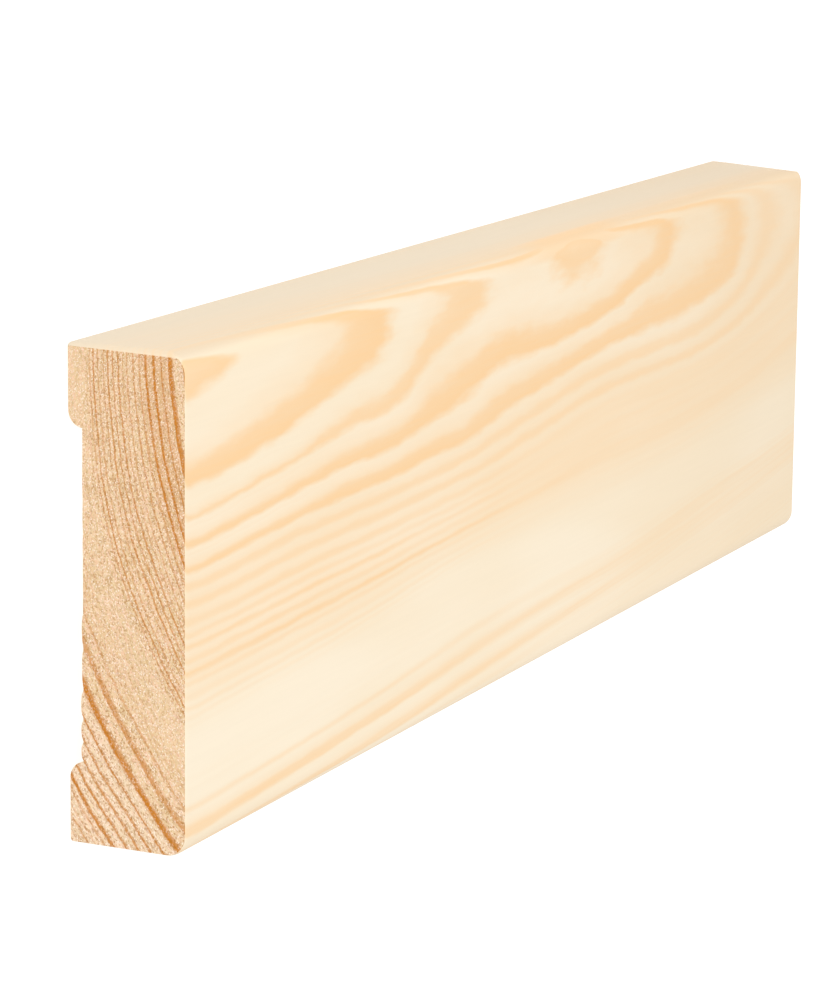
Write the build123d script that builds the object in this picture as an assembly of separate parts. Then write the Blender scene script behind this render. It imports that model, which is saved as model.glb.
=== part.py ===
from build123d import *

import math
import os

# Flat architrave with pencil rounded face edges, one length of solid softwood.
# Millimetres. +X runs along the grain, Y across the width, +Z out of the face.
# The origin is the middle of the footprint of the back, which lies on z = 0.

# driving dimensions

width = 69.0
thickness = 18.0
length = 240.0

# rounding of the two long edges of the face
face_edge_radius = 3.0

# the two long edges of the back are only just broken
back_edge_radius = 0.4

# shallow relief along the back, between two lips that bear on the wall
relief_depth = 2.2
lip_flat_width = 9.0
shoulder_radius = 2.4

# dependent sizes

half_width = width / 2
half_length = length / 2

# Each shoulder leaves its lip tangentially, turns through this angle and meets the relief floor.
shoulder_turn = math.acos(1 - relief_depth / shoulder_radius)
shoulder_start_y = half_width - lip_flat_width


def shoulder_point(turn):
    """Point of the +Y shoulder, in the section, after it has turned this far from the lip."""
    y = shoulder_start_y - shoulder_radius * math.sin(turn)
    z = shoulder_radius * (1 - math.cos(turn))
    return y, z


def stock_outline():
    """Section of the planed stock without its relief, back on z = 0."""
    with BuildSketch(Plane.YZ) as stock:
        with Locations((0, thickness / 2)):
            Rectangle(width, thickness)
        fillet(stock.vertices().group_by(Axis.Y)[-1], face_edge_radius)
        fillet(stock.vertices().group_by(Axis.Y)[0], back_edge_radius)
    return stock.sketch


def relief_outline():
    """Section of the space under the relief floor, with a convex shoulder on each side."""
    start = shoulder_point(0)
    middle = shoulder_point(shoulder_turn / 2)
    end = shoulder_point(shoulder_turn)
    with BuildSketch(Plane.YZ) as relief:
        with BuildLine():
            ThreePointArc(start, middle, end)
            Line(end, (-end[0], end[1]))
            ThreePointArc((-end[0], end[1]), (-middle[0], middle[1]), (-start[0], start[1]))
            Line((-start[0], start[1]), start)
        make_face()
    return relief.sketch


def architrave():
    """The whole moulding, the relieved section run straight between two square cuts."""
    section = stock_outline() - relief_outline()
    return extrude(Pos(-half_length, 0, 0) * section, amount=length, dir=(1, 0, 0))


os.makedirs("parts", exist_ok=True)

body = architrave()
body.label = "architrave"
export_step(body, "parts/architrave.step")
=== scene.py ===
"""Visual model of a short length of flat pine architrave, lying on its back on a pale floor.

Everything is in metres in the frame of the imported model: +X along the grain, +Y across the width and +Z out of the
planed face. The near end is the one at -X and the upper edge the one at +Y, as the camera sees them. The growth of the
wood is worked out in millimetres, because that is how a joiner reads a board.
"""

import logging
import math
from dataclasses import dataclass
from enum import Enum

import bmesh
import bpy
from mathutils import Matrix, Vector


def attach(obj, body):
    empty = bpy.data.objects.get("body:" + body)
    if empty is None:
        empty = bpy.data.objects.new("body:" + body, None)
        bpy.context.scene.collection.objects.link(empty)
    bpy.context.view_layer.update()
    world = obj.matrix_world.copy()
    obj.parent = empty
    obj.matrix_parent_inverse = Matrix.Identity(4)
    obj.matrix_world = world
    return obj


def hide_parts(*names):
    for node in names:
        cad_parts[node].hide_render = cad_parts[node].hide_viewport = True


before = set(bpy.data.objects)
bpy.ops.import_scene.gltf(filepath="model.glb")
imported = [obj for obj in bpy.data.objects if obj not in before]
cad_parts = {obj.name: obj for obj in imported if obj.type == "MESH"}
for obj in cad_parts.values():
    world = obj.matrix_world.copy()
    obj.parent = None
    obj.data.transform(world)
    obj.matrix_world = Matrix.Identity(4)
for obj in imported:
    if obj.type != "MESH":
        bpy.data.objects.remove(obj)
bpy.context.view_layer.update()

log = logging.getLogger("architrave")

MM = 0.001
PER_MM = 1000.0
WHITE = (1.0, 1.0, 1.0, 1.0)

Colour = tuple[float, float, float, float]
Point = tuple[float, float]
Pair = tuple[float, float]
Triple = tuple[float, float, float]


def linear(red: int, green: int, blue: int) -> Colour:
    """Turns a display colour into the linear one that shaders use.

    Args:
        red: Red from 0 to 255.
        green: Green from 0 to 255.
        blue: Blue from 0 to 255.

    Returns:
        Linear red, green, blue and an alpha of 1.
    """
    channels = []
    for value in (red, green, blue):
        share = value / 255
        channels.append(share / 12.92 if share <= 0.04045 else ((share + 0.055) / 1.055) ** 2.4)
    return (channels[0], channels[1], channels[2], 1.0)


class Value:
    """One number socket of a node tree, so that node maths reads as a Python expression."""

    def __init__(self, graph: "Graph", socket: bpy.types.NodeSocket) -> None:
        """Wraps a socket of the graph's tree."""
        self.graph = graph
        self.socket = socket

    def _math(self, operation: str, *others: "Value | float") -> "Value":
        """Adds one Math node with this value as its first input."""
        return self.graph.math(operation, self, *others)

    def __add__(self, other: "Value | float") -> "Value":
        """Sum."""
        return self._math("ADD", other)

    def __radd__(self, other: float) -> "Value":
        """Sum with a plain number on the left."""
        return self._math("ADD", other)

    def __sub__(self, other: "Value | float") -> "Value":
        """Difference."""
        return self._math("SUBTRACT", other)

    def __rsub__(self, other: float) -> "Value":
        """Difference with a plain number on the left."""
        return self.graph.math("SUBTRACT", other, self)

    def __mul__(self, other: "Value | float") -> "Value":
        """Product."""
        return self._math("MULTIPLY", other)

    def __rmul__(self, other: float) -> "Value":
        """Product with a plain number on the left."""
        return self._math("MULTIPLY", other)

    def __truediv__(self, other: "Value | float") -> "Value":
        """Quotient."""
        return self._math("DIVIDE", other)

    def squared(self) -> "Value":
        """The value times itself."""
        return self._math("MULTIPLY", self)

    def root(self) -> "Value":
        """Square root."""
        return self._math("SQRT")

    def size(self) -> "Value":
        """The value without its sign."""
        return self._math("ABSOLUTE")

    def exp(self) -> "Value":
        """e to this power."""
        return self._math("EXPONENT")

    def centred(self) -> "Value":
        """The value less a half, for noise that goes both ways."""
        return self - 0.5

    def above(self, limit: float) -> "Value":
        """1 where the value is greater than the limit, otherwise 0."""
        return self._math("GREATER_THAN", limit)

    def below(self, limit: float) -> "Value":
        """1 where the value is less than the limit, otherwise 0."""
        return self._math("LESS_THAN", limit)

    def ramp(self, start: float, end: float) -> "Value":
        """Smooth step that is 0 at start and 1 at end.

        Args:
            start: Where the step begins.
            end: Where it is complete. It may lie below start.

        Returns:
            A value from 0 to 1.
        """
        node = self.graph.node(
            "ShaderNodeMapRange",
            {"interpolation_type": "SMOOTHSTEP"},
            {"Value": self, "From Min": min(start, end), "From Max": max(start, end)},
        )
        step = Value(self.graph, node.outputs["Result"])
        return step if start < end else 1 - step


class Graph:
    """Adds nodes to one material or geometry tree and links them."""

    def __init__(self, tree: bpy.types.NodeTree) -> None:
        """Keeps the tree that nodes are added to."""
        self.tree = tree

    def node(
        self,
        kind: str,
        settings: dict[str, object] | None = None,
        inputs: dict[str | int, object] | None = None,
    ) -> bpy.types.Node:
        """Adds a node, sets it up and feeds its sockets.

        Args:
            kind: Blender's name for the node type.
            settings: The node's own properties, set before its sockets.
            inputs: Values or links by socket name or place.

        Returns:
            The new node.
        """
        node = self.tree.nodes.new(kind)
        for name, setting in (settings or {}).items():
            setattr(node, name, setting)
        for name, value in (inputs or {}).items():
            socket = node.inputs[name]
            if isinstance(value, Value):
                self.tree.links.new(value.socket, socket)
            elif isinstance(value, bpy.types.NodeSocket):
                self.tree.links.new(value, socket)
            else:
                socket.default_value = value
        return node

    def math(self, operation: str, *values: "Value | float") -> Value:
        """Adds one Math node.

        Args:
            operation: Blender's name for the operation.
            values: Its inputs in order.

        Returns:
            The result.
        """
        node = self.node("ShaderNodeMath", {"operation": operation}, dict(enumerate(values)))
        return Value(self, node.outputs[0])

    def vector(self, x: "Value | float", y: "Value | float", z: "Value | float") -> bpy.types.NodeSocket:
        """Joins three numbers into a vector."""
        return self.node("ShaderNodeCombineXYZ", None, {0: x, 1: y, 2: z}).outputs[0]

    def split(self, vector: bpy.types.NodeSocket) -> tuple[Value, Value, Value]:
        """Splits a vector into its three numbers."""
        node = self.node("ShaderNodeSeparateXYZ", None, {0: vector})
        return Value(self, node.outputs[0]), Value(self, node.outputs[1]), Value(self, node.outputs[2])

    def in_mm(self, place: bpy.types.NodeSocket) -> tuple[Value, Value, Value]:
        """Splits a place in metres into millimetres along, across and up."""
        x, y, z = self.split(place)
        return x * PER_MM, y * PER_MM, z * PER_MM

    def noise(self, place: bpy.types.NodeSocket, detail: float = 2.0, roughness: float = 0.5) -> Value:
        """Smooth noise with one bump for each unit of place.

        Args:
            place: Where it is read.
            detail: How many finer layers it has.
            roughness: How strong each finer layer is.

        Returns:
            A value from 0 to 1.
        """
        node = self.node(
            "ShaderNodeTexNoise",
            {"noise_dimensions": "3D"},
            {"Vector": place, "Scale": 1.0, "Detail": detail, "Roughness": roughness},
        )
        return Value(self, node.outputs[0])

    def blend(self, share: "Value | float", first: object, second: object) -> bpy.types.NodeSocket:
        """Mixes two colours.

        Args:
            share: How much of the second colour there is, from 0 to 1.
            first: A colour or a colour socket.
            second: A colour or a colour socket.

        Returns:
            The mixed colour.
        """
        node = self.node("ShaderNodeMix", {"data_type": "RGBA", "clamp_factor": True}, {0: share, 6: first, 7: second})
        return node.outputs[2]

    def shade(self, colour: bpy.types.NodeSocket, strength: Value) -> bpy.types.NodeSocket:
        """Multiplies a colour by a number."""
        node = self.node("ShaderNodeVectorMath", {"operation": "SCALE"}, {0: colour, "Scale": strength})
        return node.outputs[0]

    def curve(self, at: Value, points: list[Point]) -> Value:
        """Looks a value up on a curve of straight runs.

        Args:
            at: Where to read the curve.
            points: Rising places along the curve, each with its height from 0 to 1.

        Returns:
            The height of the curve there.
        """
        low, high = points[0][0], points[-1][0]
        node = self.node("ShaderNodeFloatCurve", None, {"Value": (at - low) / (high - low)})
        line = node.mapping.curves[0]
        line.points[0].location = (0.0, points[0][1])
        line.points[1].location = (1.0, points[-1][1])
        for place, height in points[1:-1]:
            line.points.new((place - low) / (high - low), height)
        for point in line.points:
            point.handle_type = "VECTOR"
        node.mapping.update()
        return Value(self, node.outputs[0])


@dataclass(frozen=True)
class Fade:
    """An effect that sets in smoothly from one place to another.

    Args:
        start: Where it begins.
        end: Where it is complete.
        strength: How strong it then is.
    """

    start: float
    end: float
    strength: float = 1.0

    def at(self, place: Value) -> Value:
        """Reads the effect at a place, from 0 to its strength."""
        step = place.ramp(self.start, self.end)
        return step if self.strength == 1.0 else step * self.strength


@dataclass(frozen=True)
class Figure:
    """Soft noise that is drawn out along the grain.

    Args:
        length: Length of one bump in millimetres.
        breadth: Its breadth in millimetres.
        detail: How many finer layers it has.
        roughness: How strong each finer layer is.
        shift: How many bumps the pattern is moved up by.
    """

    length: float
    breadth: float
    detail: float = 2.0
    roughness: float = 0.5
    shift: float = 0.0

    def at(self, x: Value, across: Value, up: Value | None = None) -> Value:
        """Reads the noise.

        Args:
            x: Place along the grain in millimetres.
            across: Place across it.
            up: Height over the back, or nothing where it doesn't change with height.

        Returns:
            A value from 0 to 1.
        """
        graph = x.graph
        rise = 0.0 if up is None else up / self.breadth + self.shift
        return graph.noise(graph.vector(x / self.length, across / self.breadth, rise), self.detail, self.roughness)


class Reading(Enum):
    """What is read off the growth rings.

    Each value is the curve over one ring, as steps of (share of the latewood, shift in millimetres, height) from the
    ring's outer edge. SAWN gives crisp lines, as on a sawn end. PLANED gives soft bands, as on a planed side. RIDGES
    gives the swollen earlywood between the lines.
    """

    SAWN = (
        (-1.0, 0.0, 0.0), (-0.8, 0.0, 0.6), (-0.55, 0.0, 0.85), (0.0, -0.11, 1.0), (0.0, -0.02, 1.0), (0.0, 0.05, 0.0)
    )
    PLANED = ((-1.0, 0.1, 0.0), (-0.6, 0.1, 0.25), (-0.38, 0.08, 0.85), (0.0, 0.03, 1.0), (0.0, 0.24, 0.0))
    RIDGES = ((-0.88, 0.0, 0.7), (-0.6, 0.0, 1.0), (-0.25, 0.0, 0.8), (0.0, -0.02, 0.0))


# On a sawn end, latewood up to this many millimetres broad is thinned to this share of its breadth.
BROAD_LATE = 0.6
SAWN_THINNING = 0.7
# It takes up no more than this share of its ring.
SAWN_ROOM = 0.8
# On a planed side, latewood spreads to this share of its breadth, and by these millimetres more.
PLANED_SPREAD = 1.35
PLANED_MARGIN = 0.3
# It takes up no more than these shares of its ring, the smaller one where the ring is narrower than these millimetres.
PLANED_ROOM = 0.95
NARROW_ROOM = 0.8
NARROW_RING = 0.9
# Ridges reach this share of their full height beyond each distance from the pith, and the last share nearer to it.
RIDGE_SHARES = ((88.0, 1.0), (85.0, 0.6))
INNER_RIDGES = 0.2
# Two points of a curve lie at least this many millimetres apart.
LEAST_STEP = 0.005


@dataclass(frozen=True)
class Ring:
    """One growth ring, which ends in latewood.

    Args:
        edge: Distance of its outer edge from the pith.
        late: Breadth of its latewood.
        sawn: How dark the latewood is on a sawn end, from 0 to 1.
        planed: How dark it is on a planed side, from 0 to 1.
    """

    edge: float
    late: float
    sawn: float
    planed: float

    def spread(self, reading: Reading, breadth: float) -> Pair:
        """How broad and how high the curve over the ring is.

        Args:
            reading: What the curve is for.
            breadth: Breadth of the whole ring.

        Returns:
            The breadth that the reading's steps are shares of, and the height of their top.
        """
        if reading is Reading.SAWN:
            late = self.late if self.late > BROAD_LATE else self.late * SAWN_THINNING
            return min(late, breadth * SAWN_ROOM), self.sawn
        if reading is Reading.PLANED:
            room = NARROW_ROOM if breadth < NARROW_RING else PLANED_ROOM
            return min(self.late * PLANED_SPREAD + PLANED_MARGIN, breadth * room), self.planed
        share = next((share for distance, share in RIDGE_SHARES if self.edge > distance), INNER_RIDGES)
        return breadth, min(1.0, breadth) * share


@dataclass(frozen=True)
class Swell:
    """A place where the rings bulge away from the pith, or towards it where the bulge is negative.

    Args:
        along: Its middle along the grain.
        across: Its middle across the width.
        reach_along: How far it reaches along the grain.
        reach_across: How far it reaches across the width.
        bulge: How far it moves the rings.
        height: Its middle over the back, where it doesn't run through the whole thickness.
        reach_up: How far it then reaches up and down.
    """

    along: float
    across: float
    reach_along: float
    reach_across: float
    bulge: float
    height: float | None = None
    reach_up: float = 1.0

    def at(self, x: Value, y: Value, z: Value) -> Value:
        """How far the rings are moved at a place.

        Args:
            x: Place along the grain.
            y: Place across the width.
            z: Height over the back.

        Returns:
            The move in millimetres.
        """
        far = ((x - self.along) / self.reach_along).squared() + ((y - self.across) / self.reach_across).squared()
        if self.height is not None:
            far = far + ((z - self.height) / self.reach_up).squared()
        return (0 - far).exp() * self.bulge


@dataclass(frozen=True)
class Growth:
    """How the tree grew, in millimetres, with the pith beyond the planed face.

    Args:
        pith_height: Height of the pith over the back at mid length.
        pith_across: Place of the pith across the width at mid length.
        crook_run: Length that the crooks and the twist are stated for.
        crook_height: How the pith's height changes for each run, its square and its cube.
        crook_across: How the pith's place across changes for each run and its square.
        twist: How far the rings open for each run, at each millimetre in from the straight edge.
        straight_edge: The edge at which they don't, across the width.
        swells: The larger bulges.
        wavers: Small wavers of the rings, each with how far it moves them.
        rings: Every ring that the board holds, from the pith outwards.
        innermost: Where the curves that hold the rings begin.
        middle: Where they are split in two.
        outermost: Where they end.
    """

    pith_height: float = 87.15
    pith_across: float = 24.6
    crook_run: float = 100.0
    crook_height: Triple = (-1.5, -6.55, 2.4)
    crook_across: Pair = (-29.6, 5.0)
    twist: float = 0.355
    straight_edge: float = 34.5
    swells: tuple[Swell, ...] = tuple(
        Swell(*sizes)
        for sizes in (
            (-39, 18, 30, 10, 1.3), (-34, 15, 14, 9, -0.65), (-131, 6, 32, 33, -1.45), (-21, -16, 40, 10, 1.45),
            (23, 6, 36, 16.5, 0.97), (66, 35, 29, 9.5, -1.0), (-55, 17, 12.5, 9, -0.7), (71, -18, 33, 5, 0.6),
            (21, 25.5, 24, 6, -0.55), (34, 33, 16, 6, -0.5), (100, 19, 13, 10, 0.2), (13, 36, 15, 6.1, -1.5),
            (10, 36, 17, 4, -0.9, 16.4, 1.6), (-58, 34, 10, 6, 0.2), (-107, 25, 15, 6.5, 0.19), (44, 31, 9, 5, -0.22),
            (43, 21, 11, 4, 0.25), (84, 20, 10, 5, -0.2), (59, 28, 8, 7, 0.22), (-120, 20, 45, 9, 0.22, 5, 4),
            (-120, -7, 45, 10, 0.23, 5, 5), (-120, 8, 45, 16, 0.26, 11, 5.5), (-120, 4, 45, 14, 0.3, 14.5, 3.5),
            (-120, -16, 45, 9, 0.32, 11, 5), (-120, -32, 45, 6, 0.3, 8, 4),
        )
    )
    wavers: tuple[tuple[Figure, float], ...] = (
        (Figure(24, 7, 1.0), 0.2),
        (Figure(6, 1.8, 2.0, shift=40.0), 0.28),
    )
    rings: tuple[Ring, ...] = tuple(
        Ring(*sizes)
        for sizes in (
            (65.95, 0.35, 0.9, 0.9), (67.85, 0.7, 1.0, 1.0), (68.85, 0.3, 0.75, 0.85), (69.93, 0.5, 1.0, 0.9),
            (70.98, 0.5, 0.95, 0.85), (71.8, 0.4, 0.55, 0.45), (72.6, 0.35, 0.6, 0.45), (73.45, 0.3, 0.5, 0.35),
            (74.05, 0.3, 0.4, 0.3), (74.65, 0.35, 0.75, 0.4), (75.35, 0.3, 0.65, 0.3), (76.05, 0.35, 0.75, 0.5),
            (76.6, 0.3, 0.45, 0.25), (77.4, 0.3, 0.5, 0.2), (78.0, 0.3, 0.75, 0.25), (78.5, 0.3, 0.5, 0.15),
            (79.0, 0.25, 0.15, 0.05), (80.0, 0.2, 0.1, 0.0), (80.8, 0.2, 0.05, 0.0), (81.5, 0.2, 0.1, 0.0),
            (82.25, 0.25, 0.25, 0.03), (82.95, 0.25, 0.25, 0.03), (83.5, 0.25, 0.25, 0.0), (84.15, 0.35, 0.65, 0.35),
            (85.75, 0.75, 0.7, 0.57), (87.6, 0.8, 1.0, 0.55), (88.93, 0.4, 1.0, 0.25), (90.1, 0.4, 0.85, 0.2),
            (91.12, 0.4, 0.85, 0.2), (92.2, 0.45, 0.9, 0.2), (93.35, 0.6, 1.0, 0.2), (94.0, 0.35, 0.6, 0.15),
            (94.8, 0.3, 0.35, 0.1), (95.4, 0.35, 0.7, 0.1), (96.25, 0.3, 0.3, 0.1), (97.1, 0.3, 0.5, 0.1),
            (98.4, 0.3, 0.6, 0.1), (99.6, 0.3, 0.4, 0.1), (101.0, 0.4, 0.7, 0.15), (102.3, 0.3, 0.5, 0.1),
            (103.5, 0.3, 0.4, 0.1), (104.9, 0.4, 0.65, 0.15), (106.2, 0.3, 0.5, 0.1), (107.7, 0.3, 0.6, 0.1),
            (109.0, 0.3, 0.45, 0.1), (110.4, 0.4, 0.6, 0.15), (111.9, 0.3, 0.5, 0.1), (113.3, 0.3, 0.6, 0.1),
            (114.9, 0.3, 0.5, 0.1), (116.3, 0.3, 0.5, 0.1),
        )
    )
    innermost: float = 64.5
    middle: float = 79.5
    outermost: float = 118.0

    def pith_up(self, run: Value) -> Value:
        """Height of the pith over the back, at a number of runs along the grain."""
        first, second, third = self.crook_height
        return ((run * third + second) * run + first) * run + self.pith_height

    def pith_over(self, run: Value) -> Value:
        """Place of the pith across the width, at a number of runs along the grain."""
        first, second = self.crook_across
        return (run * second + first) * run + self.pith_across

    def distance(self, x: Value, y: Value, z: Value) -> Value:
        """Distance from the pith, with every crook, twist, bulge and waver taken in.

        Args:
            x: Place along the grain in millimetres.
            y: Place across the width in millimetres.
            z: Height over the back in millimetres.

        Returns:
            The distance in millimetres, which is the same all along one ring.
        """
        run = x / self.crook_run
        reach = ((self.pith_up(run) - z).squared() + (self.pith_over(run) - y).squared()).root()
        reach = reach + run * (self.straight_edge - y) * self.twist
        for swell in self.swells:
            reach = reach + swell.at(x, y, z)
        for figure, move in self.wavers:
            reach = reach + figure.at(x, y, z).centred() * move
        return reach

    def slant(self, x: Value, y: Value) -> Value:
        """How steeply the rings meet the face: 0 where they lie flat in it, 1 where they stand square to it."""
        return ((self.pith_over(x / self.crook_run) - y) / self.pith_height).size()

    def read(self, distance: Value, reading: Reading) -> Value:
        """Reads the rings at a distance from the pith.

        Args:
            distance: Distance from the pith in millimetres.
            reading: What is read.

        Returns:
            A value from 0 to 1.
        """
        graph = distance.graph
        inner = graph.curve(distance, self.points(reading, self.innermost, self.middle))
        outer = graph.curve(distance, self.points(reading, self.middle, self.outermost))
        return inner + distance.above(self.middle) * (outer - inner)

    def points(self, reading: Reading, low: float, high: float) -> list[Point]:
        """Curve points of the rings whose edge lies between two distances.

        Args:
            reading: What the curve is for.
            low: Where the curve begins.
            high: Where it ends.

        Returns:
            Rising places, each with a height from 0 to 1.
        """
        points = [(low, 0.0)]
        inner = low
        for ring in self.rings:
            if not low < ring.edge < high:
                continue
            breadth, top = ring.spread(reading, ring.edge - inner)
            for share, shift, height in reading.value:
                place = ring.edge + breadth * share + shift
                if points[-1][0] + LEAST_STEP < place < high - LEAST_STEP:
                    points.append((place, height * top))
            inner = ring.edge
        points.append((high, 0.0))
        return points


@dataclass(frozen=True)
class Skin:
    """How a finish takes the light.

    Args:
        gloss: Strength of its reflections.
        roughness: Its plain roughness.
        bump: How much of its fine relief shows.
        depth: Depth of that relief in metres.
    """

    gloss: float
    roughness: float
    bump: float
    depth: float

    def surface(self, colour: bpy.types.NodeSocket, roughening: Value, height: Value) -> None:
        """Ends a material in its shader.

        Args:
            colour: Colour over the surface.
            roughening: What is added to the plain roughness.
            height: Fine relief over the surface, from 0 to about 1.
        """
        graph = height.graph
        relief = graph.node("ShaderNodeBump", None, {"Strength": self.bump, "Distance": self.depth, "Height": height})
        shader = graph.node(
            "ShaderNodeBsdfPrincipled",
            None,
            {
                "Base Color": colour,
                "Roughness": self.roughness + roughening,
                "Specular IOR Level": self.gloss,
                "Normal": relief.outputs[0],
            },
        )
        graph.node("ShaderNodeOutputMaterial", None, {"Surface": shader.outputs[0]})


def new_material(name: str) -> tuple[bpy.types.Material, Graph]:
    """Starts a material.

    Args:
        name: Name of the material.

    Returns:
        The material, and the graph of its tree, which is still empty.
    """
    material = bpy.data.materials.new(name)
    material.use_nodes = True
    material.node_tree.nodes.clear()
    return material, Graph(material.node_tree)


@dataclass(frozen=True)
class PlanedFinish:
    """Sides of the board, planed and left bare.

    Fades named for rings go by the distance from the pith, and the others by the place that their text names, all in
    millimetres. The near end is at -120 along the grain, and the far end at 120.

    Args:
        early: Colour of the earlywood.
        late: Colour of the latewood.
        cream: Colour of paler streaks in the earlywood.
        far: Colour of the earlywood towards the far end.
        edge: Colour of the quarter-grown long edges.
        growth: The wood that shows.
        skin: How it takes the light.
        near_blur: How far a band spreads at the near end, where the rings lie flattest.
        far_blur: How much further it spreads along the board.
        close_rings: Where the rings come close together.
        close_blur: How far those spread along the board.
        lower_rings: Where the rings of the lower edge begin.
        lower_blur: How far those spread along the board.
        clear_share: Share of the clear bands in the soft ones.
        slim: Where the bands are slim: towards the near end, and between an inner ring and an outer one.
        slim_shift: How much they are slimmed by.
        haze_rings: Where the earlywood darkens, in two steps.
        haze_outer: Where that haze ends, and how dark each of its steps is.
        haze_far: How the haze thins along the board.
        streak: Streaks along the close rings.
        streak_depth: How much the streaks change them.
        near_depth: How much stronger the close rings are near the near end.
        edge_band: Where the long edges begin, across the width.
        edge_mute: How much paler the bands are there.
        upper_arris: Where the upper arris begins, across the width and over the back.
        amber: Tint of that arris from its near end, and from its far end.
        patch_amber: Tint of the arris beside the latewood patch, from each side.
        drift_share: How the cream streaks set in.
        far_tint: How the far colour sets in along the board.
        edge_amber: Tint of the long edges towards the face, and towards the far end.
        late_cover: Least cover of the latewood's colour, and how much the fibre adds.
        painted_far_shade: How painted shade sets in towards the far end, where less light falls.
        painted_shade_depth: How much that painted shade darkens the board, and how much more the long edges.
        fibre: Fine fibres along the grain.
        drift: Broad changes of colour.
        ticks: Short flecks.
        tone: Brightness without fibre, and how much the fibre adds.
        rough: How much rougher the flecks are, and how much smoother the latewood.
        relief: Shares of the fibre, the flecks and the latewood in the fine relief.
    """

    early: Colour = linear(232, 215, 187)
    late: Colour = linear(233, 194, 144)
    cream: Colour = linear(234, 220, 196)
    far: Colour = linear(229, 209, 178)
    edge: Colour = linear(218, 202, 177)
    growth: Growth = Growth()
    skin: Skin = Skin(0.35, 0.62, 0.25, 0.03 * MM)
    near_blur: float = 0.06
    far_blur: Fade = Fade(-90, 120, 0.34)
    close_rings: Fade = Fade(72.6, 73.6)
    close_blur: Fade = Fade(-70, 60, 0.26)
    lower_rings: Fade = Fade(83.4, 84.8)
    lower_blur: Fade = Fade(-30, 95, 0.35)
    clear_share: float = 0.4
    slim: tuple[Fade, Fade, Fade] = (Fade(-40, -100), Fade(68.0, 68.2), Fade(71.6, 71.2))
    slim_shift: float = 0.2
    haze_rings: tuple[Fade, Fade] = (Fade(68.6, 69.4), Fade(70.9, 71.7))
    haze_outer: Fade = Fade(78.4, 75.8, 0.11)
    haze_far: Fade = Fade(0, 110, 0.3)
    streak: Figure = Figure(34, 1 / 1.4, 2.0, 0.55)
    streak_depth: float = 1.4
    near_depth: Fade = Fade(-10, -90, 0.3)
    edge_band: Fade = Fade(33.0, 34.3)
    edge_mute: float = 0.75
    upper_arris: tuple[Fade, Fade] = (Fade(30.8, 32.2), Fade(13.8, 15.6))
    amber: tuple[Fade, Fade] = (Fade(-45, 5), Fade(118, 70, 0.24))
    patch_amber: tuple[Fade, Fade] = (Fade(-12, 4), Fade(38, 22, 0.34))
    drift_share: Fade = Fade(0.35, 0.7)
    far_tint: Fade = Fade(-30, 135, 0.45)
    edge_amber: tuple[Fade, Fade] = (Fade(9.5, 15.0, 0.17), Fade(0, 110, 0.1))
    late_cover: Pair = (0.85, 0.3)
    # Painted shade towards the far end, where less light falls.
    painted_far_shade: Fade = Fade(0, 125)
    painted_shade_depth: Pair = (0.03, 0.012)
    fibre: Figure = Figure(18, 1 / 1.7, 3.0, 0.6)
    drift: Figure = Figure(60, 12, 1.0)
    ticks: Figure = Figure(4, 1 / 6, 2.0)
    tone: Pair = (0.98, 0.04)
    rough: Pair = (0.06, 0.08)
    relief: Triple = (0.6, 0.4, 0.8)

    def bands(self, x: Value, y: Value, distance: Value) -> Value:
        """Latewood bands on a planed side.

        Args:
            x: Place along the grain in millimetres.
            y: Place across the width in millimetres.
            distance: Distance from the pith in millimetres.

        Returns:
            How dark the wood is, from 0 to about 1.
        """
        close = self.close_rings.at(distance)
        near, inner, outer = self.slim
        slim = near.at(x) * inner.at(distance) * outer.at(distance)
        blur = self.growth.slant(x, y) * (self.near_blur + self.far_blur.at(x))
        blur = blur + close * self.close_blur.at(x) + self.lower_rings.at(distance) * self.lower_blur.at(x)
        places = (distance, distance + blur, distance - blur, distance - slim * self.slim_shift)
        clear, outwards, inwards, slimmed = (self.growth.read(place, Reading.PLANED) for place in places)
        soft = clear * self.clear_share + (outwards + inwards) * ((1 - self.clear_share) / 2)
        bands = soft * (1 - slim) + x.graph.math("MINIMUM", clear, slimmed) * slim

        first, second = self.haze_rings
        haze = (first.at(distance) + second.at(distance)) * self.haze_outer.at(distance)
        streaks = self.streak.at(x, distance).centred() * self.streak_depth
        strength = 1 + close * (streaks + self.near_depth.at(x))
        return bands * strength + haze * (1 - self.haze_far.at(x))

    def arris(self, x: Value, y: Value, z: Value) -> Value:
        """Amber tint of the upper arris.

        Args:
            x: Place along the grain in millimetres.
            y: Place across the width in millimetres.
            z: Height over the back in millimetres.

        Returns:
            How strong it is, from 0 to 1.
        """
        across, up = self.upper_arris
        from_near, from_far = self.amber
        left, right = self.patch_amber
        return across.at(y) * up.at(z) * (from_near.at(x) * from_far.at(x) + left.at(x) * right.at(x))

    def material(self) -> bpy.types.Material:
        """Builds the material.

        Returns:
            The new material.
        """
        material, graph = new_material("planed_pine")
        x, y, z = graph.in_mm(graph.node("ShaderNodeTexCoord").outputs["Object"])
        distance = self.growth.distance(x, y, z)
        on_edge = self.edge_band.at(y.size())
        latewood = self.bands(x, y, distance) * (1 - on_edge * self.edge_mute)
        latewood = graph.math("MAXIMUM", latewood, self.arris(x, y, z))

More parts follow.
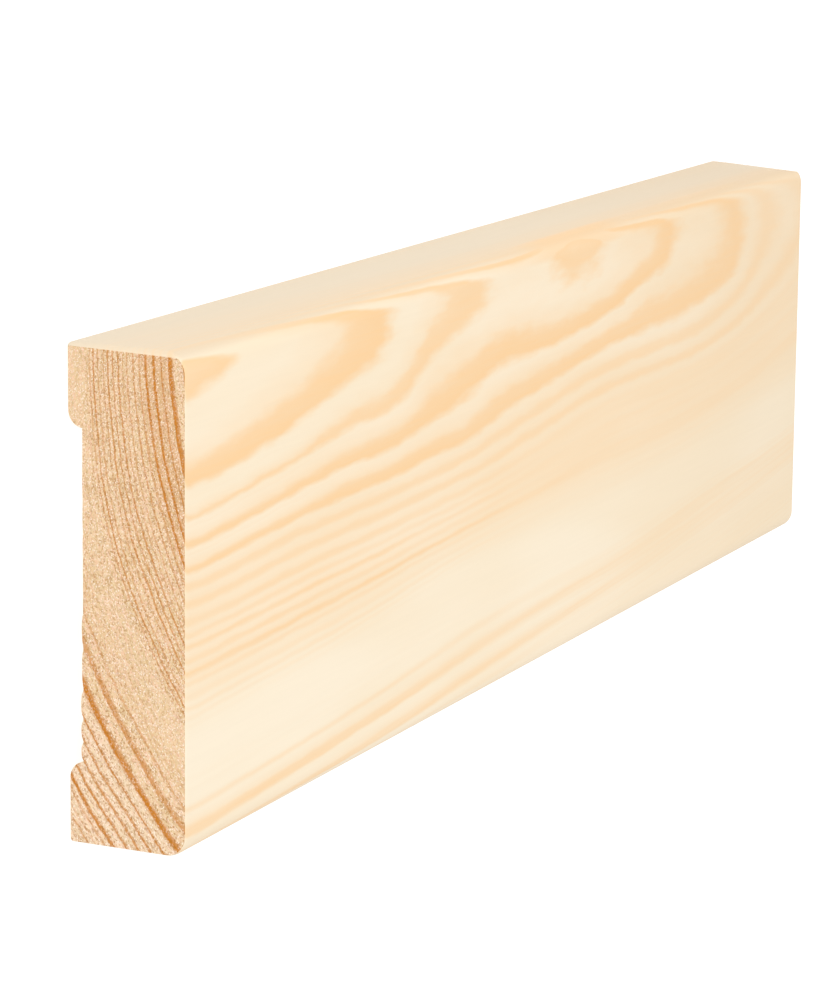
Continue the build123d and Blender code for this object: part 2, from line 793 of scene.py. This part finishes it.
        fibre, drift, ticks = (figure.at(x, y, z) for figure in (self.fibre, self.drift, self.ticks))
        least, more = self.late_cover
        to_face, to_far = self.edge_amber
        amber = on_edge * (to_face.at(z) + to_far.at(x))
        colour = graph.blend(self.drift_share.at(drift), self.early, self.cream)
        colour = graph.blend(self.far_tint.at(x), colour, self.far)
        colour = graph.blend(on_edge, colour, self.edge)
        colour = graph.blend(amber + latewood * (least + fibre * more), colour, self.late)
        # Painted shade: the colour is darkened towards the far end, and more on the long edges, where less light
        # falls.
        plain, besides = self.painted_shade_depth
        least, more = self.tone
        colour = graph.shade(colour, least + fibre * more - self.painted_far_shade.at(x) * (plain + on_edge * besides))
        rougher, smoother = self.rough
        of_fibre, of_ticks, of_latewood = self.relief
        height = fibre * of_fibre + ticks * of_ticks + latewood * of_latewood
        self.skin.surface(colour, ticks * rougher - latewood * smoother, height)
        return material


@dataclass(frozen=True)
class SawnFinish:
    """Ends of the board, cut square with a fine saw.

    Fades named for rings go by the distance from the pith, and the others by the place that their text names, all in
    millimetres.

    Args:
        early: Colour of the earlywood.
        late: Colour of the latewood.
        cell: Colour of the bright cut cells.
        pore: Colour of the shadowed cells.
        blush: Colour of the pinker cells.
        grey: Colour of the duller cells.
        growth: The wood that shows.
        skin: How it takes the light.
        centre: Middle that the rows of cells turn about, across and up.
        row_radius: Distance from it at which the cells have their true breadth.
        rows_out: Cells for each millimetre away from the pith.
        rows_round: Cells for each millimetre round it.
        scatter: How unevenly the cells lie.
        lumen: How a cell brightens from its wall to its middle.
        grit: Bumps of saw grit for each millimetre, how many finer layers it has and how strong they are.
        row_noise: Bumps for each millimetre outwards and round, and a shift, of the noise that colours rows.
        line_noise: The same for the noise that makes the latewood lines uneven.
        patch_size: Breadth in millimetres of lighter and darker patches.
        ragged: How far the grit, and the dark cells, move a ring's edge.
        uneven: Least strength of a latewood line, and how much more it may be.
        blush_rows: Where whole rows of cells are pinker.
        blush_cells: Which single cells are pinker.
        dull_cells: Which cells are duller.
        outer_rings: Where the wood grows paler.
        crowded_rings: Where the crowded dark rings lie, from outside and from inside.
        shadow_rows: Where whole rows of cells lie in shadow.
        late_cover: Least cover of the latewood's colour, and how much the grit adds.
        bright_cells: Which cells are bright.
        bright_cover: Cover of the bright cells, and how much less it is in latewood.
        dark_cells: Which cells are shadowed.
        dark_cover: Least cover of the shadowed cells, and how much the grit adds.
        calm_rings: Where the plain middle zone lies, from inside and from outside.
        calm_up: How it gets plainer towards the face.
        calm_corner: Where the upper corner of the back is plain too, over the back and across the width.
        calm: How much fainter the shadowed cells are in both.
        tone: Brightness of the darkest patches, and how much the lightest add.
        smooth: How much smoother the grit is.
        relief: Shares of the grit and the latewood in the fine relief, next to the bright cells' 1.
    """

    early: Colour = linear(221, 194, 151)
    late: Colour = linear(186, 114, 20)
    cell: Colour = linear(247, 230, 212)
    pore: Colour = linear(158, 104, 36)
    blush: Colour = linear(224, 184, 154)
    grey: Colour = linear(206, 180, 142)
    growth: Growth = Growth()
    skin: Skin = Skin(0.25, 0.8, 0.5, 0.08 * MM)
    centre: Point = (54.5, 87.2)
    row_radius: float = 85.0
    rows_out: float = 7.5
    rows_round: float = 5.2
    scatter: float = 0.9
    lumen: Fade = Fade(0.8, 0.2)
    grit: Triple = (9.0, 1.0, 0.7)
    row_noise: Triple = (2.2, 0.2, 9.0)
    line_noise: Triple = (1.1, 0.16, 3.0)
    patch_size: float = 6.0
    ragged: Pair = (0.1, 0.05)
    uneven: Pair = (0.6, 0.8)
    blush_rows: Fade = Fade(0.42, 0.6, 0.4)
    blush_cells: Fade = Fade(0.55, 0.9, 0.6)
    dull_cells: Fade = Fade(0.35, 0.05, 0.7)
    outer_rings: Fade = Fade(85.9, 88.4, 0.22)
    crowded_rings: tuple[Fade, Fade] = (Fade(72.2, 70.6), Fade(67.9, 68.1, 0.27))
    shadow_rows: Fade = Fade(0.55, 0.3, 0.2)
    late_cover: Pair = (0.95, 0.2)
    bright_cells: Fade = Fade(0.4, 0.95)
    bright_cover: Pair = (0.85, 0.5)
    dark_cells: Fade = Fade(0.55, 1.0)
    dark_cover: Pair = (0.2, 0.9)
    calm_rings: tuple[Fade, Fade] = (Fade(78.6, 79.8), Fade(84.8, 83.4))
    calm_up: Fade = Fade(7, 15, 0.5)
    calm_corner: tuple[Fade, Fade] = (Fade(4.0, 1.5), Fade(22, 27))
    calm: float = 0.45
    tone: Pair = (0.96, 0.08)
    smooth: float = 0.1
    relief: Pair = (0.6, 0.6)

    def calmness(self, y: Value, z: Value, distance: Value) -> Value:
        """How plain the cells are.

        Args:
            y: Place across the width in millimetres.
            z: Height over the back in millimetres.
            distance: Distance from the pith in millimetres.

        Returns:
            0 where they are lively, 1 where they are plainest.
        """
        inside, outside = self.calm_rings
        down, across = self.calm_corner
        least = 1 - self.calm_up.strength
        zone = inside.at(distance) * outside.at(distance) * (least + self.calm_up.at(z))
        return zone + down.at(z) * across.at(y)

    def material(self) -> bpy.types.Material:
        """Builds the material.

        Returns:
            The new material.
        """
        material, graph = new_material("sawn_pine")
        x, y, z = graph.in_mm(graph.node("ShaderNodeTexCoord").outputs["Object"])
        distance = self.growth.distance(x, y, z)
        over, up = self.centre
        turn = graph.math("ARCTAN2", over - y, up - z) * self.row_radius
        cells = graph.node(
            "ShaderNodeTexVoronoi",
            {"feature": "F1"},
            {
                "Vector": graph.vector(distance * self.rows_out, turn * self.rows_round, x),
                "Scale": 1.0,
                "Randomness": self.scatter,
            },
        )
        bright, dark, tint = graph.split(cells.outputs["Color"])
        lumen = self.lumen.at(Value(graph, cells.outputs["Distance"]))
        bumps, layers, strong = self.grit
        grit = graph.noise(graph.vector(y * bumps, z * bumps, x), layers, strong)
        patch = graph.noise(graph.vector(y / self.patch_size, z / self.patch_size, x))
        rows, uneven = (
            graph.noise(graph.vector(distance * outwards, turn * around, x + shift))
            for outwards, around, shift in (self.row_noise, self.line_noise)
        )

        by_grit, by_cell = self.ragged
        ragged = distance + grit.centred() * by_grit + dark.centred() * by_cell
        least, more = self.uneven
        latewood = self.growth.read(ragged, Reading.SAWN) * (least + uneven * more)

        colour = graph.blend(self.blush_rows.at(rows) + self.blush_cells.at(tint), self.early, self.blush)
        colour = graph.blend(self.dull_cells.at(tint), colour, self.grey)
        colour = graph.blend(self.outer_rings.at(distance), colour, self.cell)
        outside, inside = self.crowded_rings
        colour = graph.blend(outside.at(distance) * inside.at(distance), colour, self.late)
        colour = graph.blend(self.shadow_rows.at(rows), colour, self.pore)
        least, more = self.late_cover
        colour = graph.blend(latewood * (least + grit * more), colour, self.late)
        most, less = self.bright_cover
        colour = graph.blend(self.bright_cells.at(bright) * lumen * (most - latewood * less), colour, self.cell)
        least, more = self.dark_cover
        shadow = self.dark_cells.at(dark) * (least + grit * more)
        colour = graph.blend(shadow * (1 - self.calmness(y, z, distance) * self.calm), colour, self.pore)
        least, more = self.tone
        of_grit, of_latewood = self.relief
        height = lumen * bright + grit * of_grit + latewood * of_latewood
        self.skin.surface(graph.shade(colour, least + patch * more), grit * -self.smooth, height)
        return material


class Inputs:
    """The named inputs of a geometry tree."""

    def __init__(self, graph: Graph) -> None:
        """Adds the node that gives the inputs."""
        self.graph = graph
        self.outputs = graph.node("NodeGroupInput").outputs

    def number(self, name: str) -> Value:
        """One input as a number."""
        return Value(self.graph, self.outputs[name])

    def socket(self, name: str) -> bpy.types.NodeSocket:
        """One input as it is."""
        return self.outputs[name]


@dataclass(frozen=True)
class Moulding:
    """The architrave itself, run to length from its section, with raised grain on the relief floor.

    Args:
        width: Across the face.
        thickness: From the back to the face.
        length: Along the grain, a hair short so that the board stays inside the solid.
        face_edge_radius: Rounding of the two long edges of the face.
        back_edge_radius: Rounding of the two long edges of the back.
        relief_depth: Depth of the relief along the back.
        lip_flat_width: Breadth of each lip that bears on the wall.
        shoulder_radius: Rounding between a lip and the relief.
        ridge_height: How far the swollen earlywood stands out of the relief floor.
        ridge_fade: How the ridges set in from the foot of each shoulder.
        floor_clearance: How far inside the relief floor a point has to be to be lifted.
        floor_tolerance: How near to the floor's height it has to be.
        near_ease: How far the near end's upper edge is sanded back, and how far along the board all sanding runs.
        worn_run: How far the wear at the far face corners runs along the board.
        worn_above: How far the far end's upper face corner is worn down.
        worn_below: How far the far end's lower face corner is worn up.
        ease: How far the other edges of both ends are sanded back.
        ease_steps: Points along the length in each sanded edge.
        stations: Points along the length.
        face_edge_steps: Runs round a face edge.
        back_edge_steps: Runs round a back edge.
        shoulder_steps: Runs round a shoulder.
        pitch: Distance between points on the face and the long edges.
        lip_pitch: Distance between points on the lips.
        floor_pitch: Distance between points on the relief floor.
        weld: Points nearer than this are made one.
        end_facing: Share of the grain's direction in a face's normal from which it is a sawn end.
        sharp_angle: Corners over this many degrees stay sharp.
        growth: The wood that it is cut from.
    """

    width: float = 69.0 * MM
    thickness: float = 18.0 * MM
    length: float = 239.9998 * MM
    face_edge_radius: float = 3.0 * MM
    back_edge_radius: float = 0.4 * MM
    relief_depth: float = 2.2 * MM
    lip_flat_width: float = 9.0 * MM
    shoulder_radius: float = 2.4 * MM
    ridge_height: float = 0.45 * MM
    ridge_fade: Fade = Fade(0.0, 0.35 * MM)
    floor_clearance: float = 0.01 * MM
    floor_tolerance: float = 0.3 * MM
    near_ease: float = 0.9 * MM
    worn_run: float = 8.5 * MM
    worn_above: float = 1.1 * MM
    worn_below: float = 0.5 * MM
    ease: float = 0.15 * MM
    ease_steps: int = 5
    stations: int = 160
    face_edge_steps: int = 10
    back_edge_steps: int = 4
    shoulder_steps: int = 9
    pitch: float = 1.2 * MM
    lip_pitch: float = 0.6 * MM
    floor_pitch: float = 0.22 * MM
    weld: float = 0.002 * MM
    end_facing: float = 0.999
    sharp_angle: float = 38.0
    growth: Growth = Growth()

    @property
    def shoulder_turn(self) -> float:
        """Angle that a shoulder turns through from its lip to the relief floor, in radians."""
        return math.acos(1 - self.relief_depth / self.shoulder_radius)

    @property
    def floor_half_width(self) -> float:
        """Half the breadth of the relief floor."""
        return self.width / 2 - self.lip_flat_width - self.shoulder_radius * math.sin(self.shoulder_turn)

    def half_section(self) -> list[Point]:
        """Half of the section at +Y, from the middle of the face round to the middle of the relief floor.

        Returns:
            Points as (across, height) in metres.
        """
        side, top, depth = self.width / 2, self.thickness, self.relief_depth
        face, back, shoulder = self.face_edge_radius, self.back_edge_radius, self.shoulder_radius
        lip_end = side - self.lip_flat_width
        turn = math.degrees(self.shoulder_turn)
        return [
            *self._run((0.0, top), (side - face, top), self.pitch),
            *self._arc((side - face, top - face), face, (90, 0), self.face_edge_steps),
            *self._run((side, top - face), (side, back), self.pitch),
            *self._arc((side - back, back), back, (0, -90), self.back_edge_steps),
            *self._run((side - back, 0.0), (lip_end, 0.0), self.lip_pitch),
            *self._arc((lip_end, shoulder), shoulder, (-90, -90 - turn), self.shoulder_steps),
            *self._run((self.floor_half_width, depth), (0.0, depth), self.floor_pitch),
        ]

    @staticmethod
    def _run(start: Point, end: Point, pitch: float) -> list[Point]:
        """Points along a straight run.

        Args:
            start: Where it starts, which is the first point.
            end: Where it ends, which is left out.
            pitch: Distance between points, about.

        Returns:
            The points in order.
        """
        steps = max(1, round(math.dist(start, end) / pitch))
        return [
            (start[0] + (end[0] - start[0]) * i / steps, start[1] + (end[1] - start[1]) * i / steps)
            for i in range(steps)
        ]

    @staticmethod
    def _arc(centre: Point, radius: float, angles: Pair, steps: int) -> list[Point]:
        """Points along an arc.

        Args:
            centre: Its centre.
            radius: Its radius.
            angles: Where it starts and ends, in degrees. The end is left out.
            steps: How many points it has.

        Returns:
            The points in order.
        """
        start, end = angles
        points = []
        for i in range(steps):
            angle = math.radians(start + (end - start) * i / steps)
            points.append((centre[0] + radius * math.cos(angle), centre[1] + radius * math.sin(angle)))
        return points

    def outline(self) -> bpy.types.Object:
        """Draws the whole section as a closed line of edges, flat in X and Y.

        Returns:
            An object whose X is across the board and whose Y is its height.
        """
        right = self.half_section()
        left = [(-across, height) for across, height in reversed(right[1:])]
        points = [*right, (0.0, self.relief_depth), *left]
        mesh = bpy.data.meshes.new("section")
        edges = [(i, (i + 1) % len(points)) for i in range(len(points))]
        mesh.from_pydata([(across, height, 0.0) for across, height in points], edges, [])
        section = bpy.data.objects.new("section", mesh)
        bpy.context.scene.collection.objects.link(section)
        return section

    def inputs(self, planed: bpy.types.Material, sawn: bpy.types.Material) -> dict[str, tuple[str, object]]:
        """Names the inputs of the geometry tree.

        Args:
            planed: Material of the sides.
            sawn: Material of the ends.

        Returns:
            The kind and the value of each input by its name.
        """
        return {
            "Length": ("Float", self.length),
            "Stations": ("Int", self.stations),
            "Ease steps": ("Int", self.ease_steps),
            "Ease": ("Float", self.ease),
            "Near ease": ("Float", self.near_ease),
            "Worn run": ("Float", self.worn_run),
            "Worn above": ("Float", self.worn_above),
            "Worn below": ("Float", self.worn_below),
            "Half width": ("Float", self.width / 2),
            "Thickness": ("Float", self.thickness),
            "Relief depth": ("Float", self.relief_depth),
            "Floor half width": ("Float", self.floor_half_width),
            "Ridge height": ("Float", self.ridge_height),
            "Planed": ("Material", planed),
            "Sawn": ("Material", sawn),
        }

    @staticmethod
    def eased(
        given: Inputs, corner: tuple[Value, Value], near: Value | float, far: Value | float, worn: Value | float
    ) -> tuple[Value, Value]:
        """Draws a point of the section in towards the middle where an end is sanded back or worn.

        Args:
            given: Inputs of the tree.
            corner: Its place across the width, and its height.
            near: Share of the near end's sanding that it gets, from 0 to 1.
            far: Share of the far end's sanding.
            worn: Share of the wear at the far face corners.

        Returns:
            The point's new place across and its new height.
        """
        graph = given.graph
        across, height = corner
        half_width, thickness = given.number("Half width"), given.number("Thickness")
        ease = graph.math("MAXIMUM", near, far) * given.number("Ease")
        middle = thickness * 0.5
        lean = height / thickness
        upper = half_width - near * given.number("Near ease") * (lean * 0.5 + 0.5)
        upper = upper - given.number("Worn above") * lean * worn
        lower = 0 - half_width + given.number("Worn below") * lean * worn
        across = graph.math("MINIMUM", across * (1 - ease / half_width), upper)
        return graph.math("MAXIMUM", across, lower), height - (height - middle) * (ease / middle)

    def sides(self, given: Inputs, count: int) -> bpy.types.Node:
        """Runs the section along the grain, with points close together in the sanded edges.

        Args:
            given: Inputs of the tree.
            count: Number of points round the section.

        Returns:
            The node that gives the sides.
        """
        graph = given.graph
        length, near_ease, steps = (given.number(name) for name in ("Length", "Near ease", "Ease steps"))
        round_section = count + 1
        grid = graph.node(
            "GeometryNodeMeshGrid",
            None,
            {"Size X": length, "Size Y": 1.0, "Vertices X": given.socket("Stations"), "Vertices Y": round_section},
        )
        index = Value(graph, graph.node("GeometryNodeInputIndex").outputs[0])
        column = graph.math("MODULO", graph.math("MODULO", index, round_section), count)
        row = graph.math("FLOOR", (index + 0.5) / round_section)
        last = given.number("Stations") - 1
        into_near = graph.math("MINIMUM", row, steps) / steps
        into_far = graph.math("MINIMUM", last - row, steps) / steps
        between = graph.math("MINIMUM", graph.math("MAXIMUM", row - steps, 0.0), last - steps * 2)
        pitch = (length - near_ease * 2) / (last - steps * 2)
        along = (into_near - into_far + 1) * near_ease + between * pitch - length * 0.5
        corner = graph.node(
            "GeometryNodeSampleIndex",
            {"data_type": "FLOAT_VECTOR", "domain": "POINT"},
            {
                "Geometry": given.socket("Section"),
                "Value": graph.node("GeometryNodeInputPosition").outputs[0],
                "Index": column,
            },
        )
        near, far = (1 - (1 - (1 - into).squared()).root() for into in (into_near, into_far))
        worn = graph.math("MAXIMUM", (along - length * 0.5) / given.number("Worn run") + 1, 0.0)
        across, height = self.eased(given, graph.split(corner.outputs[0])[:2], near, far, worn)
        moved = graph.node(
            "GeometryNodeSetPosition",
            None,
            {"Geometry": grid.outputs[0], "Position": graph.vector(along, across, height)},
        )
        return graph.node("GeometryNodeFlipFaces", None, {0: moved.outputs[0]})

    def ends(self, given: Inputs) -> list[bpy.types.Node]:
        """Closes the two ends with the section, drawn in to meet the sanded edges.

        Args:
            given: Inputs of the tree.

        Returns:
            The nodes that give the near end and the far end.
        """
        graph = given.graph
        loop = graph.node("GeometryNodeMeshToCurve", None, {0: given.socket("Section")})
        cap = graph.node("GeometryNodeFillCurve", None, {0: loop.outputs[0]})
        corner = graph.split(graph.node("GeometryNodeInputPosition").outputs[0])[:2]
        ends = []
        for side, near, far in ((-0.5, 1.0, 0.0), (0.5, 0.0, 1.0)):
            across, height = self.eased(given, corner, near, far, far)
            place = graph.vector(given.number("Length") * side, across, height)
            ends.append(
                graph.node("GeometryNodeSetPosition", None, {"Geometry": cap.outputs[0], "Position": place})
            )
        near_end, far_end = ends
        return [graph.node("GeometryNodeFlipFaces", None, {0: near_end.outputs[0]}), far_end]

    def raise_grain(self, given: Inputs, board: bpy.types.Node) -> bpy.types.Node:
        """Raises the grain on the relief floor, as water does on bare pine.

        Args:
            given: Inputs of the tree.
            board: The node that gives the closed board.

        Returns:
            The node that gives the finished shape.
        """
        graph = given.graph
        position = graph.node("GeometryNodeInputPosition").outputs[0]
        _, y, z = graph.split(position)
        inside = given.number("Floor half width") - y.size()
        level = (z - given.number("Relief depth")).size().below(self.floor_tolerance)
        on_floor = inside.above(self.floor_clearance) * level
        ridges = self.growth.read(self.growth.distance(*graph.in_mm(position)), Reading.RIDGES)
        lift = ridges * given.number("Ridge height") * self.ridge_fade.at(inside) * on_floor
        return graph.node(
            "GeometryNodeSetPosition",
            None,
            {"Geometry": board.outputs[0], "Offset": graph.vector(0.0, 0.0, 0 - lift)},
        )

    def tree(self, count: int, inputs: dict[str, tuple[str, object]]) -> bpy.types.NodeTree:
        """Builds the geometry tree that runs the section to length, raises the grain and dresses the board.

        Args:
            count: Number of points round the section.
            inputs: The kind and the value of each input by its name.

        Returns:
            The finished tree.
        """
        tree = bpy.data.node_groups.new("run_to_length", "GeometryNodeTree")
        tree.interface.new_socket("Section", in_out="INPUT", socket_type="NodeSocketGeometry")
        for name, (kind, _) in inputs.items():
            tree.interface.new_socket(name, in_out="INPUT", socket_type="NodeSocket" + kind)
        tree.interface.new_socket("Board", in_out="OUTPUT", socket_type="NodeSocketGeometry")
        graph = Graph(tree)
        given = Inputs(graph)
        joined = graph.node("GeometryNodeJoinGeometry")
        for part in (*self.ends(given), self.sides(given, count)):
            tree.links.new(part.outputs[0], joined.inputs[0])
        whole = graph.node("GeometryNodeMergeByDistance", None, {"Geometry": joined.outputs[0], "Distance": self.weld})
        real = graph.node("GeometryNodeRealizeInstances", None, {0: self.raise_grain(given, whole).outputs[0]})

        facing, _, _ = graph.split(graph.node("GeometryNodeInputNormal").outputs[0])
        planed = graph.node(
            "GeometryNodeSetMaterial", None, {"Geometry": real.outputs[0], "Material": given.socket("Planed")}
        )
        sawn = graph.node(
            "GeometryNodeSetMaterial",
            None,
            {
                "Geometry": planed.outputs[0],
                "Selection": facing.size().above(self.end_facing),
                "Material": given.socket("Sawn"),
            },
        )
        graph.node("NodeGroupOutput", None, {0: sawn.outputs[0]})
        return tree

    def build(self, planed: bpy.types.Material, sawn: bpy.types.Material) -> bpy.types.Object:
        """Makes the board as a plain mesh.

        Args:
            planed: Material of the sides.
            sawn: Material of the ends.

        Returns:
            The finished piece.
        """
        section = self.outline()
        inputs = self.inputs(planed, sawn)
        modifier = section.modifiers.new("run", "NODES")
        modifier.node_group = self.tree(len(section.data.vertices), inputs)
        for item in modifier.node_group.interface.items_tree:
            if item.name in inputs:
                modifier[item.identifier] = inputs[item.name][1]
        seen = section.evaluated_get(bpy.context.evaluated_depsgraph_get())
        mesh = bpy.data.meshes.new_from_object(seen)
        mesh.name = "architrave_board"
        section.modifiers.clear()
        bpy.data.objects.remove(section)
        piece = bpy.data.objects.new("architrave_board", mesh)
        bpy.context.scene.collection.objects.link(piece)
        mesh.shade_smooth()
        mesh.set_sharp_from_angle(angle=math.radians(self.sharp_angle))
        log.info("board: %d faces, %d points", len(mesh.polygons), len(mesh.vertices))
        return piece


@dataclass(frozen=True)
class Softbox:
    """One soft light that faces the board.

    Args:
        name: Name of the light.
        stand: Where it hangs, in metres.
        breadth: Breadth of its square face in metres.
        power: Its power in watts.
    """

    name: str
    stand: Triple
    breadth: float
    power: float

    def build(self) -> bpy.types.Object:
        """Hangs the light.

        Returns:
            The light.
        """
        data = bpy.data.lights.new(self.name, "AREA")
        data.shape = "SQUARE"
        data.size = self.breadth
        data.energy = self.power
        light = bpy.data.objects.new(self.name, data)
        light.location = self.stand
        light.rotation_euler = (-Vector(self.stand)).to_track_quat("-Z", "Y").to_euler()
        bpy.context.scene.collection.objects.link(light)
        log.info("light: %s", self.name)
        return light


@dataclass(frozen=True)
class Studio:
    """Pale floor, soft light and the camera.

    Args:
        swing: Angle between the line of sight and the grain, seen square to the long edge, in degrees.
        dip: Angle by which the line of sight crosses the width, in degrees.
        lean: Turn of the picture about the line of sight, in degrees.
        stand: Where the camera stands, in metres.
        focal: Focal length in pixels of the finished picture.
        rise: How far the middle of the view is over the middle of the picture, in pixels.
        tall: Height of the finished picture in pixels.
        film: Height of the camera's film in millimetres.
        sight: Nearest and furthest distance that the camera sees, in metres.
        floor_size: Half the breadth of the floor in metres.
        floor_drop: How far the floor lies under the board, so that the two never meet.
        floor_colour: Colour of the floor.
        floor_glow: How strongly the floor glows, which takes the shadow away as in the photograph.
        floor_finish: Roughness and gloss of the floor.
        sky: Strength of the light from all round.
        softboxes: The lights.
    """

    swing: float = 25.164
    dip: float = 10.247
    lean: float = -0.595
    stand: Triple = (-0.55112, 0.11720, 0.25417)
    focal: float = 3796.7
    rise: float = 100.0
    tall: float = 1000.0
    film: float = 36.0
    sight: Pair = (0.01, 20.0)
    floor_size: float = 3.0
    floor_drop: float = 0.2 * MM
    floor_colour: Colour = (0.35, 0.35, 0.35, 1.0)
    floor_glow: float = 0.8
    floor_finish: Pair = (0.9, 0.1)
    sky: float = 1.0
    softboxes: tuple[Softbox, ...] = (Softbox("over_face", (-0.9, 0.6, 1.0), 1.0, 7.0),)

    def camera(self) -> bpy.types.Object:
        """Sets up the camera.

        Returns:
            The camera.
        """
        swing, dip, lean = (math.radians(angle) for angle in (self.swing, self.dip, self.lean))
        ahead = Vector((math.cos(swing) * math.cos(dip), -math.sin(dip), -math.sin(swing) * math.cos(dip)))
        right = Vector((math.sin(swing), 0.0, math.cos(swing)))
        down = ahead.cross(right)
        right, down = (
            right * math.cos(lean) + down * math.sin(lean),
            down * math.cos(lean) - right * math.sin(lean),
        )
        turn = Matrix((right, -down, -ahead)).transposed()
        data = bpy.data.cameras.new("camera")
        data.sensor_width = self.film
        data.lens = self.focal * self.film / self.tall
        data.shift_y = -self.rise / self.tall
        data.clip_start, data.clip_end = self.sight
        camera = bpy.data.objects.new("camera", data)
        camera.matrix_world = Matrix.Translation(self.stand) @ turn.to_4x4()
        bpy.context.scene.collection.objects.link(camera)
        bpy.context.scene.camera = camera
        log.info("camera: lens %.1f mm", data.lens)
        return camera

    def floor(self) -> bpy.types.Object:
        """Lays a wide pale floor just under the board.

        Returns:
            The floor.
        """
        mesh = bpy.data.meshes.new("floor")
        shape = bmesh.new()
        bmesh.ops.create_grid(shape, x_segments=1, y_segments=1, size=self.floor_size)
        bmesh.ops.translate(shape, vec=(0.0, 0.0, -self.floor_drop), verts=shape.verts)
        shape.to_mesh(mesh)
        shape.free()
        floor = bpy.data.objects.new("floor", mesh)
        bpy.context.scene.collection.objects.link(floor)
        material = bpy.data.materials.new("pale_floor")
        material.use_nodes = True
        shader = material.node_tree.nodes["Principled BSDF"]
        roughness, gloss = self.floor_finish
        for name, value in {
            "Base Color": self.floor_colour,
            "Emission Color": WHITE,
            "Emission Strength": self.floor_glow,
            "Roughness": roughness,
            "Specular IOR Level": gloss,
        }.items():
            shader.inputs[name].default_value = value
        mesh.materials.append(material)
        log.info("floor: pale, wide")
        return floor

    def light(self) -> None:
        """Lights the board evenly from all round, with a broad softbox over the face."""
        world = bpy.data.worlds.new("studio")
        world.use_nodes = True
        sky = world.node_tree.nodes["Background"]
        sky.inputs["Color"].default_value = WHITE
        sky.inputs["Strength"].default_value = self.sky
        bpy.context.scene.world = world
        for softbox in self.softboxes:
            softbox.build()
        view = bpy.context.scene.view_settings
        view.view_transform = "Standard"
        view.look = "None"
        view.exposure = 0.0
        view.gamma = 1.0


def main() -> None:
    """Builds the board, dresses it and sets up the studio."""
    logging.basicConfig(level=logging.INFO, format="%(name)s: %(message)s")
    planed = PlanedFinish().material()
    sawn = SawnFinish().material()
    board = Moulding().build(planed, sawn)
    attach(board, "root")
    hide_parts("architrave")
    studio = Studio()
    studio.floor()
    studio.light()
    studio.camera()


if __name__ == "__main__":
    main()
